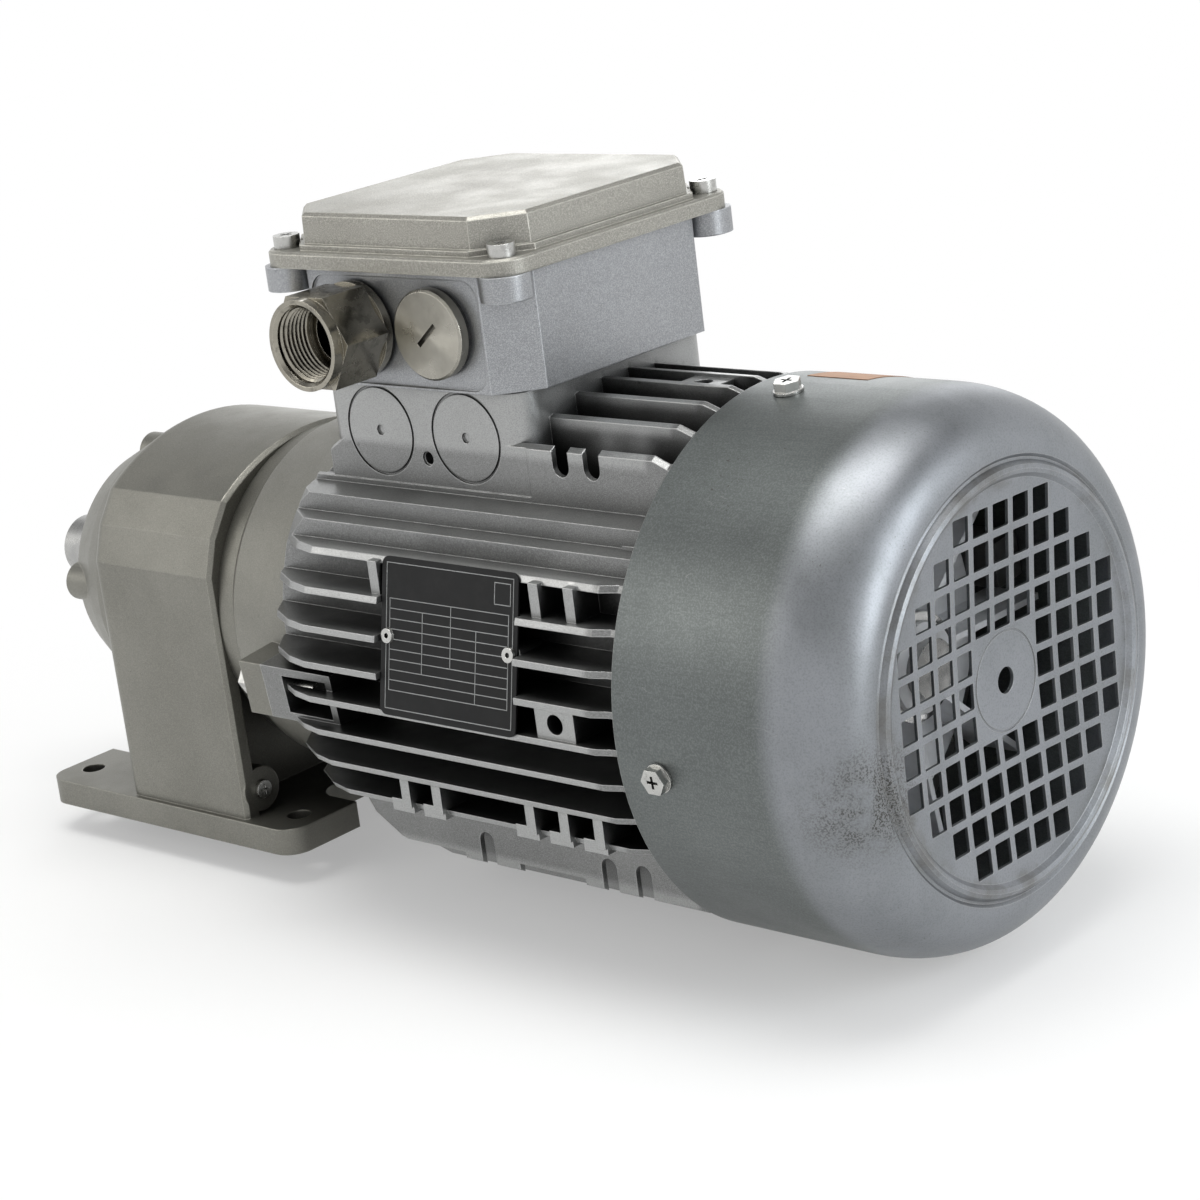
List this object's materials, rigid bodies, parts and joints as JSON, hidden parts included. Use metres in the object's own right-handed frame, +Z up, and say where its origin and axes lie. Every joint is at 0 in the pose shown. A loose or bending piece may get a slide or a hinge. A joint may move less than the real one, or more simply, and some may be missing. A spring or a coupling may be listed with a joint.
{
  "type": "gear motor",
  "caption": "Foot-mounted inline gear motor: cast gear housing on a foot, finned motor with terminal box and conduit adapter, and a perforated fan cover.",
  "frame": {"origin": "centre of the foot-bolt pattern, on the underside of the foot", "axes": "+X along the motor axis from the output shaft towards the fan, +Z up, square to the foot; the side with the nameplate and the cable entries faces -Y"},
  "size_m": [0.4578, 0.1908, 0.2489],
  "materials": {
    "cast_aluminium": "as cast, fine satin grain",
    "cover_sheet": "satin drawn sheet",
    "bright_steel": "zinc plated",
    "nickel": "nickel plated, turned",
    "bearing_steel": "ground",
    "shaft_steel": "turned and cut",
    "lamination_steel": "stacked sheet",
    "cast_cage": "as cast",
    "copper_winding": "varnished copper",
    "brass": "plain",
    "seal_rubber": "matt",
    "black_plate": "printed aluminium sheet, black",
    "block_plastic": "moulded",
    "fan_plastic": "moulded, light grey",
    "tan_label": "plain label"
  },
  "bodies": {
    "motor": {"gear_housing": "cast_aluminium", "oil_plug": "bright_steel", "output_seal": "seal_rubber", "output_bearing_outers": "bearing_steel", "output_bearing_balls": "bearing_steel", "countershaft_bearing_outers": "bearing_steel", "countershaft_bearing_balls": "bearing_steel", "drive_end_shield": "cast_aluminium", "shield_bolts": "bright_steel", "housing_bolts": "bright_steel", "corner_screws": "bright_steel", "motor_seal": "seal_rubber", "rotor_bearing_outers": "bearing_steel", "rotor_bearing_balls": "bearing_steel", "stator_core": "lamination_steel", "stator_windings": "copper_winding", "stator_frame": "cast_aluminium", "nameplate": "black_plate", "nameplate_rivets": "bright_steel", "terminal_box": "cast_aluminium", "base_gasket": "seal_rubber", "box_screws": "bright_steel", "lid_gasket": "seal_rubber", "terminal_box_lid": "cast_aluminium", "lid_screws": "bright_steel", "terminal_block": "block_plastic", "terminal_block_screws": "bright_steel", "terminal_studs": "brass", "terminal_nuts": "brass", "terminal_links": "brass", "conduit_adapter": "nickel", "blank_plug": "nickel", "entry_seals": "seal_rubber", "earth_grub_screw": "bright_steel", "fan_end_shield": "cast_aluminium", "fan_end_screws": "bright_steel", "fan_cover": "cover_sheet", "fan_cover_screws": "bright_steel", "cover_label": "tan_label"},
    "rotor": {"rotor_shaft": "shaft_steel", "rotor_core": "lamination_steel", "rotor_cage_rings": "cast_cage", "motor_pinion": "shaft_steel", "rotor_bearing_inners": "bearing_steel", "fan": "fan_plastic", "fan_clamp_ring": "bright_steel"},
    "countershaft": {"countershaft": "shaft_steel", "countershaft_gear": "shaft_steel", "countershaft_bearing_inners": "bearing_steel"},
    "output": {"output_shaft": "shaft_steel", "output_gear": "shaft_steel", "output_bearing_inners": "bearing_steel"}
  },
  "joints": [
    {"name": "rotor_spin", "type": "hinge", "parent": "motor", "child": "rotor", "pos_m": [0.1, 0, 0.0835], "axis": [1, 0, 0], "continuous": true},
    {"name": "countershaft_spin", "type": "hinge", "parent": "motor", "child": "countershaft", "pos_m": [0.03, 0.01878, 0.04818], "axis": [1, 0, 0], "continuous": true},
    {"name": "output_spin", "type": "hinge", "parent": "motor", "child": "output", "pos_m": [-0.05, 0, 0.0835], "axis": [1, 0, 0], "continuous": true}
  ],
  "couplings": [
    {"joint": "countershaft_spin", "follows": "rotor_spin", "ratio": -0.30612},
    {"joint": "output_spin", "follows": "rotor_spin", "ratio": 0.1312}
  ]
}
